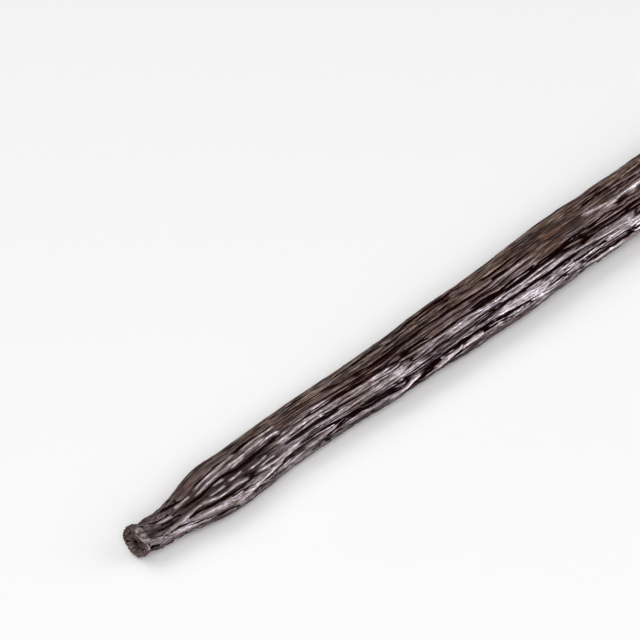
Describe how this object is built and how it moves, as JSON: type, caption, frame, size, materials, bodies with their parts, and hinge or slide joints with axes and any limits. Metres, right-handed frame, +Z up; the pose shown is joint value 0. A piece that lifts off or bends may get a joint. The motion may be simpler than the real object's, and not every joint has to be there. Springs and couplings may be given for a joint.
{
  "type": "vanilla pod",
  "caption": "Whole cured vanilla pod lying flat: long dark wrinkled seed pod with a flared stem scar at one end and a thin blossom beak at the other.",
  "frame": {"origin": "on the surface that the pod lies on, under the middle of its bounding box", "axes": "+X along the pod from the stem scar towards the blossom end, +Z up from the surface, +Y to the pod's left"},
  "size_m": [0.16, 0.0116, 0.0077],
  "materials": {
    "cured_skin": "oily cured plant skin, dark brown to black, furrowed lengthwise, with a soft satin sheen on the ridges"
  },
  "bodies": {
    "root": {"vanilla_pod": "cured_skin"}
  },
  "joints": []
}
